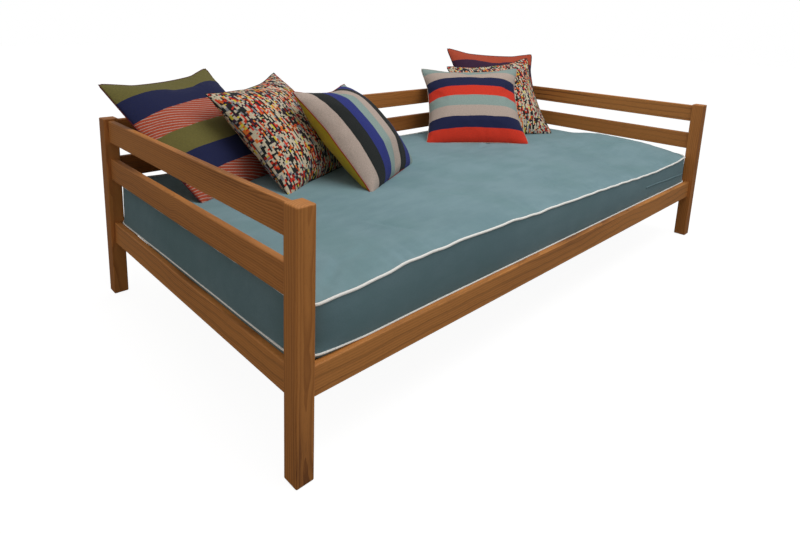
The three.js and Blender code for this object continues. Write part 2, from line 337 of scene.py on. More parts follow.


# Each board's grain direction, knots (place along it, place across it, size), shade and bold figure. The
# shade shifts a whole board darker or lighter: partly the board's own colour, partly painted shade and
# painted light fitted to how bright each board's seen faces are, darker for boards whose seen faces lie in
# shade, such as the back rails and the right end's inner faces, lighter for the left end's lit rails.
BOARDS = {
    "post_front_left": ("z", (), 0.0, 0.1),
    "post_front_right": ("z", (), 0.2, 0.1),
    "post_back_left": ("z", (), 0.1, 0.0),
    "post_back_right": ("z", (), 0.0, 0.0),
    "left_end_top_rail": ("y", (), -0.1, 0.1),
    "left_end_middle_rail": ("y", ((0.05, -0.006, 0.006),), 0.0, 0.2),
    "left_end_bed_rail": ("y", (), -0.4, 0.25),
    "right_end_top_rail": ("y", ((-0.25, 0.012, 0.006),), 0.05, 0.75),
    "right_end_middle_rail": ("y", (), 0.15, 0.2),
    "right_end_bed_rail": ("y", (), 0.0, 0.0),
    "back_top_rail": ("x", (), 0.3, 0.2),
    "back_middle_rail": ("x", (), 0.5, 0.2),
    "back_bed_rail": ("x", (), 0.0, 0.0),
    "front_bed_rail": ("x", ((0.42, 0.0, 0.005),), -0.25, 0.28),
    "centre_beam": ("x", (), 0.0, 0.0),
    "slat_cleat_front": ("x", (), 0.0, 0.0),
    "slat_cleat_back": ("x", (), 0.0, 0.0),
    "beam_block_left": ("y", (), 0.0, 0.0),
    "beam_block_right": ("y", (), 0.0, 0.0),
}


def refinish(node, material):
    """Gives a CAD node's mesh one material."""
    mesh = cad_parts[node].data
    mesh.materials.clear()
    mesh.materials.append(material)


class DAYBED_OT_timber(bpy.types.Operator):
    """Finish the posts, rails and slatted base in timber"""

    bl_idname = "daybed.timber"
    bl_label = "Timber"

    def execute(self, context):
        look = context.scene.daybed_timber
        for seed, (node, (axis, knots, tone, figure)) in enumerate(BOARDS.items(), start=11):
            low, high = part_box(node)
            material = timber(
                f"timber_{node}", axis, (low + high) / 2, seed, tuple(look.light), tuple(look.dark),
                tuple(look.streak), look.ring, look.roughness, knots, tone, figure,
            )
            refinish(node, material)
        slats = sorted(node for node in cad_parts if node.startswith("slat_") and "cleat" not in node)
        pale = tuple(look.slat)
        deep = tuple(0.72 * c for c in pale[:3]) + (1.0,)
        for seed, node in enumerate(slats, start=71):
            low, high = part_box(node)
            material = timber(f"timber_{node}", "y", (low + high) / 2, seed, pale, deep, deep, look.ring, 0.6)
            refinish(node, material)
        return {"FINISHED"}


# Fittings

def plated_steel():
    """Zinc-plated steel with fine brushing and dull spots."""
    made = Finish("plated_steel")
    x, y, z = made.place()
    brushed = made.noise(made.vector(x * 60, y * 900, z * 900), 1.0, 2.0)
    dull = made.noise(made.vector(x * 90, y * 90, z * 90), 1.0, 3.0)
    colour = made.mix(dull, rgb("B4B6B8"), rgb("8C8E8C"))
    roughness = 0.28 + dull * 0.25 + brushed * 0.1
    return made.surface(
        Base_Color=colour, Metallic=1.0, Roughness=roughness, Normal=made.bump(brushed, 0.15, 0.0003)
    )


def glide_plastic():
    """Moulded brown plastic with a fine spark grain and rubbed edges."""
    made = Finish("glide_plastic")
    x, y, z = made.place()
    grain = made.noise(made.vector(x * 1400, y * 1400, z * 1400), 1.0, 2.0)
    rubbed = made.noise(made.vector(x * 120, y * 120, z * 120), 1.0, 2.0)
    colour = made.mix(rubbed, rgb("3A302A"), rgb("54473D"))
    return made.surface(Base_Color=colour, Roughness=0.55 + grain * 0.2, Normal=made.bump(grain, 0.3, 0.0003))


class DAYBED_OT_fittings(bpy.types.Operator):
    """Finish the studs, flange nuts and foot glides"""

    bl_idname = "daybed.fittings"
    bl_label = "Fittings"

    def execute(self, context):
        steel = plated_steel()
        plastic = glide_plastic()
        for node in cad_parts:
            if node.startswith("bed_rail_"):
                refinish(node, steel)
            if node.startswith("foot_glide"):
                refinish(node, plastic)
        return {"FINISHED"}


# Meshes and cloth

def new_piece(name, points, faces, uvs=None):
    """A smooth mesh object. uvs holds one (u, v) for each corner of each face."""
    mesh = bpy.data.meshes.new(name)
    mesh.from_pydata([tuple(p) for p in points], [], [tuple(f) for f in faces])
    if uvs is not None:
        layer = mesh.uv_layers.new(name="cover")
        layer.data.foreach_set("uv", np.asarray(uvs, dtype=np.float32).ravel())
    mesh.polygons.foreach_set("use_smooth", [True] * len(mesh.polygons))
    mesh.update()
    piece = bpy.data.objects.new(name, mesh)
    bpy.context.scene.collection.objects.link(piece)
    return piece


def read_points(mesh):
    flat = np.empty(len(mesh.vertices) * 3)
    mesh.vertices.foreach_get("co", flat)
    return flat.reshape(-1, 3)


def write_points(piece, points):
    piece.data.vertices.foreach_set("co", np.asarray(points, dtype=np.float32).ravel())
    piece.data.update()


def inflate(piece, pressure, cap, stiff, bend, held=()):
    """Swells a closed cover with Cloth pressure, limits each point's move to cap, and keeps the result."""
    before = read_points(piece.data)
    cloth = piece.modifiers.new("filling", "CLOTH")
    settings = cloth.settings
    settings.quality = 7
    settings.mass = 0.2
    settings.tension_stiffness = stiff
    settings.compression_stiffness = stiff
    settings.shear_stiffness = stiff * 0.3
    settings.bending_stiffness = bend
    settings.tension_damping = 8
    settings.use_pressure = True
    settings.uniform_pressure_force = pressure
    settings.effector_weights.gravity = 0
    if len(held):
        group = piece.vertex_groups.new(name="held")
        group.add([int(i) for i in held], 1.0, "REPLACE")
        settings.vertex_group_mass = "held"
    scene = bpy.context.scene
    for step in range(1, 21):
        scene.frame_set(step)
    settled = piece.evaluated_get(bpy.context.evaluated_depsgraph_get())
    move = read_points(settled.data) - before
    piece.modifiers.remove(cloth)
    scene.frame_set(1)
    if not np.isfinite(move).all():
        raise RuntimeError(f"the cloth of {piece.name} did not settle")
    length = np.linalg.norm(move, axis=1, keepdims=True)
    write_points(piece, before + move * np.minimum(1.0, cap / np.maximum(length, 1e-9)))


def crease(piece, loops, amount):
    """Keeps the edges along closed loops of points sharp in the subdivision."""
    wanted = set()
    for loop in loops:
        for a, b in zip(loop, np.roll(loop, -1)):
            wanted.add((min(a, b), max(a, b)))
    values = [amount if tuple(sorted(e.vertices)) in wanted else 0.0 for e in piece.data.edges]
    layer = piece.data.attributes.new("crease_edge", "FLOAT", "EDGE")
    layer.data.foreach_set("value", values)


def subdivide(piece, levels=1):
    modifier = piece.modifiers.new("fine", "SUBSURF")
    modifier.levels = levels
    modifier.render_levels = levels
    fine = piece.evaluated_get(bpy.context.evaluated_depsgraph_get())
    mesh = bpy.data.meshes.new_from_object(fine)
    piece.modifiers.remove(modifier)
    piece.data = mesh


def ripple(places, seed, low, high, waves=6):
    """A smooth value from about -1 to 1 along a line, the same each time for one seed."""
    chance = np.random.default_rng(seed)
    total = np.zeros_like(places, dtype=float)
    for _ in range(waves):
        total += np.sin(places * math.tau * chance.integers(low, high) + chance.uniform(0, math.tau))
    return total / math.sqrt(waves)


def tube(name, path, radius, up=(0, 0, 1), sides=10):
    """A cord of round section along a closed path."""
    path = np.asarray(path)
    count = len(path)
    tangent = np.roll(path, -1, 0) - np.roll(path, 1, 0)
    tangent /= np.linalg.norm(tangent, axis=1, keepdims=True)
    side = np.cross(tangent, up)
    side /= np.linalg.norm(side, axis=1, keepdims=True)
    rise = np.cross(side, tangent)
    turns = (np.arange(sides) * math.tau / sides)[None, :, None]
    ring = np.cos(turns) * side[:, None] + np.sin(turns) * rise[:, None]
    points = (path[:, None] + radius * ring).reshape(-1, 3)
    faces = []
    uvs = []
    steps = np.linalg.norm(np.roll(path, -1, 0) - path, axis=1)
    along = np.concatenate([[0], np.cumsum(steps)])
    for i in range(count):
        for j in range(sides):
            near = i * sides
            far = ((i + 1) % count) * sides
            after = (j + 1) % sides
            faces.append((near + j, far + j, far + after, near + after))
            low = j / sides
            high = (j + 1) / sides
            uvs += [(along[i], low), (along[i + 1], low), (along[i + 1], high), (along[i], high)]
    return new_piece(name, points, faces, uvs)


def settle(piece, body, material):
    """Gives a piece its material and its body."""
    piece.data.materials.clear()
    piece.data.materials.append(material)
    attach(piece, body)
    return piece


# Mattress

ACROSS_CELLS = 104
DEEP_CELLS = 52
BAND_ROWS = 8
CORNER_RADIUS = 0.052
SPREAD_X = 0.0055
SPREAD_Y = 0.003
SEAM_LOW = 0.2463
SEAM_OUT = 0.004
BACK_SEAM = 0.3625
LEFT_SEAM = 0.372
END_OUT = 0.005
END_LIFT = 0.009
BACK_CROWN = 0.008
STUFFED_CROWN = 0.025

# Shallow creases in the top: middle, direction, half length and depth
TOP_CREASES = (
    (-0.62, -0.36, 1.9, 0.06, 0.006),
    (-0.30, -0.30, 2.2, 0.05, 0.004),
    (-0.90, -0.47, 0.6, 0.05, 0.006),
    (-0.80, -0.44, 0.2, 0.05, 0.004),
    (0.12, -0.40, 1.3, 0.07, 0.004),
    (0.55, -0.42, 1.8, 0.06, 0.005),
    (0.86, -0.30, 2.4, 0.08, 0.005),
    (0.35, 0.05, 0.3, 0.12, 0.003),
)

# Height of the upper seam along the front, as (place from the left corner, height)
FRONT_SEAM = (
    (0.0, 0.357), (0.07, 0.357), (0.15, 0.361), (0.27, 0.371), (0.45, 0.377), (0.65, 0.373), (1.0, 0.363),
    (1.24, 0.358), (1.58, 0.345), (1.8, 0.342), (2.0, 0.353), (2.04, 0.356),
)


def seam_height(x, y):
    """Height of the mattress's upper seam level at a place."""
    knots = np.array(FRONT_SEAM)
    places = x - MATTRESS_LOW.x
    smooth = np.zeros_like(places)
    for offset in (-0.06, -0.03, 0.0, 0.03, 0.06):
        smooth += np.interp(places + offset, knots[:, 0], knots[:, 1]) / 5
    reach = 0.06 + 0.39 * np.clip(places / 0.4, 0, 1)
    deep = np.clip((y - MATTRESS_LOW.y) / reach, 0, 1)
    blend = deep * deep * (3 - 2 * deep)
    back = BACK_SEAM + (LEFT_SEAM - BACK_SEAM) * np.clip(1 - places / 0.6, 0, 1)
    return smooth * (1 - blend) + back * blend


def end_share(x, y, reach):
    """How near a place is to the left end, where the lower seam rides up; none at the back corner."""
    from_left = np.clip(1 - (x - MATTRESS_LOW.x) / reach, 0, 1)
    from_front = np.clip(1 - (y - MATTRESS_LOW.y - 0.6) / 0.4, 0, 1)
    return from_left * from_front


def rounded_grid(half_x, half_y, radius):
    """A grid over a rectangle with round corners. Its points are uniform away from the corners."""
    xs, ys = np.meshgrid(
        np.linspace(-half_x, half_x, ACROSS_CELLS + 1), np.linspace(-half_y, half_y, DEEP_CELLS + 1)
    )
    p = np.clip((np.abs(xs) - (half_x - radius)) / radius, 0, 1)
    q = np.clip((np.abs(ys) - (half_y - radius)) / radius, 0, 1)
    in_corner = (p > 0) & (q > 0)
    round_x = (half_x - radius + radius * p * np.sqrt(1 - q * q / 2)) * np.sign(xs)
    round_y = (half_y - radius + radius * q * np.sqrt(1 - p * p / 2)) * np.sign(ys)
    return np.where(in_corner, round_x, xs), np.where(in_corner, round_y, ys)


def border(columns, rows, first=0):
    """Indices round a grid's edge, counter-clockwise from its first corner."""
    grid = first + np.arange((columns + 1) * (rows + 1)).reshape(rows + 1, columns + 1)
    return np.concatenate([grid[0, :-1], grid[:-1, -1], grid[-1, :0:-1], grid[:0:-1, 0]])


def grid_faces(columns, rows, first, flip):
    grid = first + np.arange((columns + 1) * (rows + 1)).reshape(rows + 1, columns + 1)
    quads = np.stack([grid[:-1, :-1], grid[:-1, 1:], grid[1:, 1:], grid[1:, :-1]], axis=-1).reshape(-1, 4)
    return quads[:, ::-1] if flip else quads


def mattress_cover(look):
    """The cover as one closed mesh, and its upper and lower seam loops."""
    centre = np.array((MATTRESS_LOW + MATTRESS_HIGH) / 2)
    half = np.array((MATTRESS_HIGH - MATTRESS_LOW) / 2)
    half += (SPREAD_X, SPREAD_Y, 0.0)
    flat_x, flat_y = rounded_grid(half[0], half[1], CORNER_RADIUS)
    xs = flat_x + centre[0]
    ys = flat_y + centre[1]
    rim = border(ACROSS_CELLS, DEEP_CELLS)
    edge_x = xs.ravel()[rim]
    edge_y = ys.ravel()[rim]
    run = np.arange(len(rim)) / len(rim)
    level = seam_height(xs, ys)
    level.ravel()[rim] += look.wave * (0.6 * ripple(run, 5, 9, 40) + 0.4 * ripple(run, 6, 40, 90))
    away_x = 1 - np.abs(flat_x) / half[0]
    away_y = 1 - np.abs(flat_y) / half[1]
    inside = np.minimum(away_x * half[0], away_y * half[1])
    settled = np.clip((flat_y + half[1]) / 0.45, 0, 1) + np.clip((flat_x + half[0] - 1.7) / 0.3, 0, 1)
    settled = np.minimum(1, settled) * np.clip((flat_x + half[0]) / 0.6, 0, 1)
    from_front = flat_y + half[1]
    stuffed = np.clip((flat_x + half[0] - 1.72) / 0.2, 0, 1) * np.clip((0.5 - from_front) / 0.12, 0, 1)
    stuffed = stuffed * np.clip(from_front / 0.16, 0, 1)
    crown = look.crown + BACK_CROWN * settled + STUFFED_CROWN * stuffed
    crown *= 1 - np.exp(-inside / 0.03)
    top = np.column_stack([xs.ravel(), ys.ravel(), (level + crown).ravel()])
    top[rim, 2] = level.ravel()[rim]
    normal = np.column_stack([
        np.where(np.abs(edge_x - centre[0]) > half[0] - 0.054, np.sign(edge_x - centre[0]), 0),
        np.where(np.abs(edge_y - centre[1]) > half[1] - 0.054, np.sign(edge_y - centre[1]), 0),
    ]).astype(float)
    for _ in range(6):
        normal = (np.roll(normal, 1, 0) + normal * 2 + np.roll(normal, -1, 0)) / 4
    normal /= np.maximum(np.linalg.norm(normal, axis=1, keepdims=True), 1e-6)
    low = SEAM_LOW + 0.08 * look.wave * (1 + ripple(run, 9, 8, 36))
    points = [top]
    loops = [rim]
    base = len(top)
    wander = 0.001 * ripple(run, 31, 12, 60)
    seam_out = SEAM_OUT + END_OUT * end_share(edge_x, edge_y, 0.4)
    for r in range(1, BAND_ROWS + 1):
        t = r / BAND_ROWS
        z = top[rim, 2] * (1 - t) + low * t
        swell = (0.0025 + wander) * math.sin(math.pi * t) + seam_out * t ** 6
        ring = np.column_stack([edge_x, edge_y]) + normal * swell[:, None]
        points.append(np.column_stack([ring, z]))
        loops.append(base + np.arange(len(rim)))
        base += len(rim)
    seam_low = loops[-1]
    for part, drop in ((0.05, 0.5), (0.4, 0.9)):
        ring = np.column_stack([edge_x, edge_y]) - normal * look.roll * part
        points.append(np.column_stack([ring, low - look.roll * drop]))
        loops.append(base + np.arange(len(rim)))
        base += len(rim)
    under = np.column_stack([xs.ravel(), ys.ravel(), np.full(xs.size, MATTRESS_LOW.z + 0.001)])
    under[rim, :2] -= normal * look.roll
    loops.append(base + rim)
    points.append(under)
    faces = [grid_faces(ACROSS_CELLS, DEEP_CELLS, 0, False), grid_faces(ACROSS_CELLS, DEEP_CELLS, base, True)]
    for above, below in zip(loops[:-1], loops[1:]):
        faces.append(np.stack([above, below, np.roll(below, -1), np.roll(above, -1)], axis=-1))
    piece = new_piece("mattress_cover", np.concatenate(points), np.concatenate(faces))
    return piece, rim, seam_low


def cover_cloth(look):
    """Brushed velvet: a fine pile that lies light or dark in patches, and painted shade that darkens the
    cover's upright sides.
    """
    made = Finish("brushed_velvet")
    x, y, z = made.place()
    here = made.vector(x, y, z)
    cloud = made.noise(here, 3.2, 4.0, 0.62)
    strokes = made.noise(made.vector(x * 9, y * 26, z * 26), 1.0, 3.0, 0.6)
    pile = made.noise(here, 900.0, 2.0, 0.7)
    weave = made.noise(here, 240.0, 2.0, 0.5)
    tone = made.spread(cloud * 0.62 + strokes * 0.38, 0.36, 0.66)
    colour = made.mix(tone, tuple(look.cover), tuple(look.cover_shade))
    cast = made.noise(here, 5.5, 3.0, 0.55)
    colour = made.mix(made.spread(cast, 0.42, 0.68) * 0.35, colour, rgb("6F9494"))
    # Painted shade: the more upright a face, the more it is mixed towards dark blue-grey, so the band and
    # ends read darker than the top; the pile's own light and dark specks go into the same mix.
    upright = made.spread(made.place("Normal")[2].size(), 0.85, 0.25)
    colour = made.mix((pile - 0.5) * 0.5 + 0.12 + upright * 0.34, colour, rgb("30464E"))
    return made.surface(
        Base_Color=colour,
        Roughness=0.82 + (pile - 0.5) * 0.2,
        Sheen_Weight=0.35,
        Sheen_Roughness=0.45,
        Sheen_Tint=rgb("A9C0C6"),
        Specular_IOR_Level=0.2,
        Normal=made.bump(pile * 0.6 + weave * 0.5 + strokes * 0.8, 0.35, 0.0012),
    )


def cord_cloth(name, colour):
    """Bias-cut cotton over a cord, with its twill lines."""
    made = Finish(name)
    along, around = made.place("UV")[:2]
    twill = (along * 1300 + around * 9).sine()
    thread = made.noise(made.vector(along * 800, around * 30, 0.0), 1.0, 2.0)
    soil = made.noise(made.vector(along * 14, around * 2, 0.0), 1.0, 3.0)
    shade = tuple(0.8 * c for c in colour[:3]) + (1.0,)
    tone = thread * 0.35 + soil * 0.45 + twill * 0.08 - 0.25
    return made.surface(
        Base_Color=made.mix(tone, colour, shade),
        Roughness=0.8 + (thread - 0.5) * 0.2,
        Specular_IOR_Level=0.25,
        Normal=made.bump(twill * 0.5 + thread, 0.3, 0.0005),
    )


class DAYBED_OT_mattress(bpy.types.Operator):
    """Make the mattress, its corded seams and its zip flap"""

    bl_idname = "daybed.mattress"
    bl_label = "Mattress"

    def execute(self, context):
        look = context.scene.daybed_mattress
        piece, upper, lower = mattress_cover(look)
        held = np.concatenate([upper, lower])
        inflate(piece, 4.0, look.lift, 12.0, 0.4, held)
        points = read_points(piece.data)
        upper_path = points[upper]
        lower_path = points[lower]
        lift = end_share(lower_path[:, 0], lower_path[:, 1], 0.16)
        lower_path[:, 2] += END_LIFT * lift
        crease(piece, (upper, lower), 0.7)
        subdivide(piece)
        self.tuck(piece)
        settle(piece, "mattress", cover_cloth(look))
        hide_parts("mattress")
        cotton = cord_cloth("piping_cotton", tuple(look.piping))
        for name, path, share in (("piping_upper", upper_path, 1.0), ("piping_lower", lower_path, 0.72)):
            settle(tube(name, path, look.piping_radius * share), "mattress", cotton)
        self.zip_flap(points, look)
        return {"FINISHED"}

    def tuck(self, piece):
        """Small tucks that run in from the seams, and creases and broad hollows in the top."""
        points = read_points(piece.data)
        x, y, z = points.T
        inner_x = np.minimum(x - MATTRESS_LOW.x, MATTRESS_HIGH.x - x)
        inner_y = np.minimum(y - MATTRESS_LOW.y, MATTRESS_HIGH.y - y)
        inside = np.minimum(inner_x, inner_y)
        along = np.where(inner_x < inner_y, y, x)
        on_top = z > 0.32
        near = np.exp(-inside / 0.045) * np.clip((inside - 0.004) / 0.008, 0, 1)
        pleat = -0.0034 * near * np.abs(ripple(along / 2.2, 41, 12, 40)) ** 1.5
        broad = 0.0022 * ripple(x / 2.2 + 0.4 * y, 43, 1, 5) * np.clip(inside / 0.15, 0, 1)
        for place_x, place_y, angle, half, deep in TOP_CREASES:
            ahead = (x - place_x) * math.cos(angle) + (y - place_y) * math.sin(angle)
            aside = (y - place_y) * math.cos(angle) - (x - place_x) * math.sin(angle)
            broad -= deep * np.exp(-(ahead / half) ** 2 - (aside / 0.010) ** 2)
            broad += 0.6 * deep * np.exp(-(ahead / half) ** 2 - ((aside - 0.020) / 0.012) ** 2)
        points[:, 2] += np.where(on_top, pleat + broad, 0)
        write_points(piece, points)

    def zip_flap(self, points, look):
        """A narrow covered zip let into the front of the band, towards the right."""
        count = 90
        xs = np.linspace(MATTRESS_LOW.x + 1.6, MATTRESS_HIGH.x - 0.03, count)
        knots = np.array(((1.6, 0.297), (2.03, 0.284)))
        zs = np.interp(xs - MATTRESS_LOW.x, knots[:, 0], knots[:, 1]) + 0.0008 * ripple(xs, 51, 2, 9)
        front = points[(points[:, 1] < MATTRESS_LOW.y + 0.02) & (points[:, 2] > 0.26) & (points[:, 2] < 0.33)]
        rows = []
        for high, out in ((0.0034, -0.002), (0.0024, 0.0009), (-0.0022, 0.0013), (-0.0040, -0.002)):
            level = zs + high
            depth = []
            for x, z in zip(xs, level):
                gap = (front[:, 0] - x) ** 2 + ((front[:, 2] - z) * 1.2) ** 2
                weight = np.exp(-gap / (2 * 0.012 ** 2))
                depth.append((front[:, 1] * weight).sum() / weight.sum())
            rows.append(np.column_stack([xs, np.array(depth) - out, level]))
        first = np.concatenate(rows)
        faces = grid_faces(count - 1, 3, 0, True)
        flap = new_piece("mattress_zip_flap", first, faces)
        solid = flap.modifiers.new("thick", "SOLIDIFY")
        solid.thickness = 0.0008
        settle(flap, "mattress", cover_cloth(look))


# Cushions

ORIGIN = np.array((1.0595, 0.5675, 0.0))

# The four corners of each cover's seam (near left, near right, far left, far right), measured from the
# frame's front left corner, and the swell of its front and back.
CUSHIONS = {
    "cushion_left_rear": (
        0.064, 0.048,
        ((0.140, 0.655, 0.376), (0.596, 0.842, 0.377), (-0.030, 0.946, 0.696), (0.398, 1.132, 0.710)),
    ),
    "cushion_left_middle": (
        0.084, 0.074,
        ((0.369, 0.561, 0.377), (0.756, 0.745, 0.377), (0.226, 0.797, 0.670), (0.605, 1.002, 0.700)),
    ),
    "cushion_left_front": (
        0.084, 0.080,
        ((0.577, 0.421, 0.376), (0.966, 0.610, 0.374), (0.469, 0.693, 0.671), (0.847, 0.889, 0.653)),
    ),
    "cushion_right_rear": (
        0.046, 0.036,
        ((1.613, 0.908, 0.377), (1.996, 0.667, 0.376), (1.755, 1.135, 0.757), (2.149, 0.877, 0.735)),
    ),
    "cushion_right_middle": (
        0.055, 0.042,
        ((1.500, 0.771, 0.375), (1.897, 0.574, 0.379), (1.637, 1.035, 0.678), (2.032, 0.829, 0.719)),
    ),
    "cushion_right_front": (
        0.070, 0.046,
        ((1.249, 0.802, 0.375), (1.595, 0.514, 0.380), (1.473, 1.054, 0.670), (1.817, 0.750, 0.685)),
    ),
}
PULL_IN = 0.05
START_SWELL = 0.6
DRAW = 0.4
STRAIGHT_SIDED = ("cushion_left_rear",)
FULLNESS = 0.55
PUCKER = 0.0035


def seam_point(tips, u, v):
    """A place between a cover's four corners."""
    s = ((1 + u) / 2)[:, None]
    t = ((1 + v) / 2)[:, None]
    near = tips[0] * (1 - s) + tips[1] * s
    far = tips[2] * (1 - s) + tips[3] * s
    return near * (1 - t) + far * t


def swell_share(u, v):
    """Share of a cover's swell at a place. The filling has settled, so the upper part is flatter."""
    thin = 0.5 + 0.3 * np.maximum(v, 0)
    return np.sqrt(np.maximum(0, 1 - u * u)) * np.maximum(0, 1 - v * v) ** thin


def cushion_cover(name, look, seed):
    """A filled cover: two squares sewn at their edges and blown up, then set between its corners."""
    front, back, tips = CUSHIONS[name]
    tips = np.array(tips) - ORIGIN
    n = look.cells
    across = (tips[1] - tips[0] + tips[3] - tips[2]) / 2
    up = (tips[2] - tips[0] + tips[3] - tips[1]) / 2
    normal = np.cross(across, up)
    normal /= np.linalg.norm(normal)
    half = np.array((np.linalg.norm(across), np.linalg.norm(up))) / 2
    u, v = np.meshgrid(np.linspace(-1, 1, n + 1), np.linspace(-1, 1, n + 1))
    u = u.ravel()
    v = v.ravel()
    dome = swell_share(u, v)
    loose = np.where((u < 0) & (name in STRAIGHT_SIDED), 0.0, 1.0)
    pull_u = u * (1 - PULL_IN * loose * u * u * (1 - v * v))
    rest = np.where(v < 0, 0.35, 1.0)
    pull_v = v * (1 - PULL_IN * rest * v * v * (1 - u * u))
    start = START_SWELL
    chance = np.random.default_rng(seed)
    uneven = 1 + 0.14 * np.sin(u * chance.uniform(2, 4) + chance.uniform(0, 6)) * np.sin(
        v * chance.uniform(2, 4) + chance.uniform(0, 6)
    )
    flat = np.column_stack([pull_u * half[0], pull_v * half[1]])
    upper = np.column_stack([flat, front * dome * start * uneven])
    lower = np.column_stack([flat, -back * dome * start * uneven])
    rim = border(n, n)
    inner = np.ones(len(u), bool)
    inner[rim] = False
    shared = np.arange(len(u))
    shared[inner] = len(u) + np.arange(inner.sum())
    faces_front = grid_faces(n, n, 0, False)
    faces_back = shared[grid_faces(n, n, 0, True)]
    place = np.column_stack([(u + 1) / 2, (v + 1) / 2])
    uv_front = place[faces_front.ravel()]
    uv_back = place[grid_faces(n, n, 0, True).ravel()] + (1.0, 0.0)
    piece = new_piece(
        f"{name}_cover",
        np.concatenate([upper, lower[inner]]),
        np.concatenate([faces_front, faces_back]),
        np.concatenate([uv_front, uv_back]),
    )
    inflate(piece, look.pressure, look.lift, 15.0, 0.3)
    points = read_points(piece.data)
    corners = points[[0, n, n * (n + 1), n * (n + 1) + n], :2]
    points[:, :2] -= corners.mean(axis=0)
    points[:, :2] /= np.abs(corners - corners.mean(axis=0)).mean(axis=0)
    points[:, 2] -= points[rim, 2].mean()
    high = points[:, 2].max()
    low = -points[:, 2].min()
    rise = np.where(points[:, 2] > 0, points[:, 2] * front / high, points[:, 2] * back / low)
    both_u = np.concatenate([u, u[inner]])
    both_v = np.concatenate([v, v[inner]])
    room = swell_share(both_u, both_v)
    to_edge = 1 - np.maximum(np.abs(both_u), np.abs(both_v))
    along_edge = np.where(np.abs(both_u) > np.abs(both_v), both_v, both_u + 3)
    fade = np.exp(-to_edge / 0.12) * np.minimum(1, to_edge / 0.05)
    pucker = PUCKER * ripple(along_edge / 4, 60 + seed, 14, 44) * fade
    full = np.where(points[:, 2] > 0, front, -back) * room
    rise = np.clip(rise * (1 - FULLNESS) + full * FULLNESS, -back * room - 0.004, front * room + 0.004)
    rise = rise + pucker
    pull = np.column_stack([pull_u, pull_v])
    both_pull = np.concatenate([pull, pull[inner]])
    both_loose = np.concatenate([loose, loose[inner]])
    draw = np.column_stack([DRAW * both_loose, np.where(both_v < 0, 0.3 * DRAW, DRAW)])
    drawn = both_pull + (points[:, :2] - both_pull) * draw
    cover_u = np.clip(drawn[:, 0], -1.0, 1.0)
    cover_v = np.clip(drawn[:, 1], -1.0, 1.0)
    write_points(piece, seam_point(tips, cover_u, cover_v) + normal * rise[:, None])
    crease(piece, (rim,), 1.0)
    path = read_points(piece.data)[rim]
    path = (np.roll(path, 1, 0) + 2 * path + np.roll(path, -1, 0)) / 4
    subdivide(piece)
    return piece, path, normal


INKS = {
    "red": "D8341C",
    "deep_red": "9A1A10",
    "navy": "141B45",
    "blue": "27307A",
    "black": "1B1F1E",
    "plum": "3A1B38",
    "beige": "B9A79B",
    "sage": "8FA29C",
    "mustard": "B0981F",
    "yellow": "D8C63A",
    "rust": "B0492E",
    "cream": "CFC3A8",
    "olive": "6B6430",
    "maroon": "5A1520",
    "grey": "8C8D90",
    "orange": "E0742A",
}


class InkSettings(bpy.types.PropertyGroup):
    """Yarn colours of the cushions."""

    __annotations__ = {
        ink: colour_prop(ink.replace("_", " ").title(), f"Colour of the {ink.replace('_', ' ')} yarn", code)
        for ink, code in INKS.items()
    }


# Plain striped covers: which way the stripes run, how many there are, and the yarns they take in turn
STRIPED_COVERS = {
    "cushion_left_rear": ("rows", 6, ("rust_rib", "navy", "olive")),
    "cushion_left_front": ("columns", 8, ("beige", "black", "blue", "sage")),
    "cushion_right_rear": ("rows", 6, ("plum", "rust")),
    "cushion_right_front": ("rows", 8, ("red", "navy", "beige", "sage")),
}
BACKS = {
    "cushion_left_rear": "maroon_rib",
    "cushion_left_front": "mustard",
    "cushion_right_rear": "rust",
    "cushion_right_front": "beige",
}
# Ribbed yarns: ground, rib, ribs across a cover, share of the ground
RIBS = {
    "rust_rib": ("rust", "beige", 50, 0.8),
    "maroon_rib": ("maroon", "beige", 46, 0.84),
}
SPECKS = (
    (0.0, "cream"), (0.22, "black"), (0.46, "red"), (0.56, "cream"), (0.66, "plum"), (0.73, "orange"),
    (0.79, "grey"), (0.86, "deep_red"), (0.91, "yellow"), (0.94, "black"),
)
DYE_LIFT = 1.3


